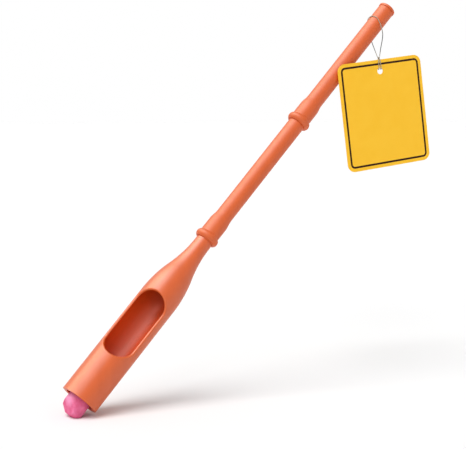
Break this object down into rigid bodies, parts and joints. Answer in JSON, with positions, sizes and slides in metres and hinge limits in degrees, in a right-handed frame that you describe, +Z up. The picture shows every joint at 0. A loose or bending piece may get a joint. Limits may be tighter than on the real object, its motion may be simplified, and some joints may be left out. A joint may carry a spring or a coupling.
{
  "type": "chalk holder",
  "caption": "Long-handled holder for pavement chalk: a bottle-shaped barrel with a window grips a worn stub, push-fit tubes make the pole, and a card tag hangs from a string.",
  "frame": {"origin": "middle of the chalk's worn flat face, which lies on the ground", "axes": "+Z up from the ground; the pole leans from the origin towards +X in the XZ plane, 43.8 degrees from the vertical; -Y is the front, where the tag hangs and the window shows"},
  "size_m": [0.4748, 0.0527, 0.4569],
  "materials": {
    "pole_plastic": "satin",
    "collar_rubber": "matte",
    "chalk": "matte",
    "tag_card": "satin",
    "string": "matte"
  },
  "bodies": {
    "barrel": {"chalk_barrel": "pole_plastic", "grip_collar": "collar_rubber"},
    "chalk": {"chalk_stick": "chalk"},
    "middle": {"middle_tube": "pole_plastic"},
    "top": {"top_tube": "pole_plastic", "end_cap": "pole_plastic", "tag_string": "string"},
    "tag": {"hang_tag": "tag_card", "string_knot": "string", "string_hitch": "string"}
  },
  "joints": [
    {"name": "chalk_slide", "type": "slide", "parent": "barrel", "child": "chalk", "axis": [0.6921, 0, 0.7218], "range_m": [-0.03, 0.019]},
    {"name": "middle_pull", "type": "slide", "parent": "barrel", "child": "middle", "axis": [0.6921, 0, 0.7218], "range_m": [0, 0.03]},
    {"name": "top_pull", "type": "slide", "parent": "middle", "child": "top", "axis": [0.6921, 0, 0.7218], "range_m": [0, 0.03]},
    {"name": "tag_swing", "type": "hinge", "parent": "top", "child": "tag", "pos_m": [0.39028, -0.02, 0.38949], "axis": [-0.1392, -0.9903, 0], "range_deg": [-20, 20]}
  ]
}
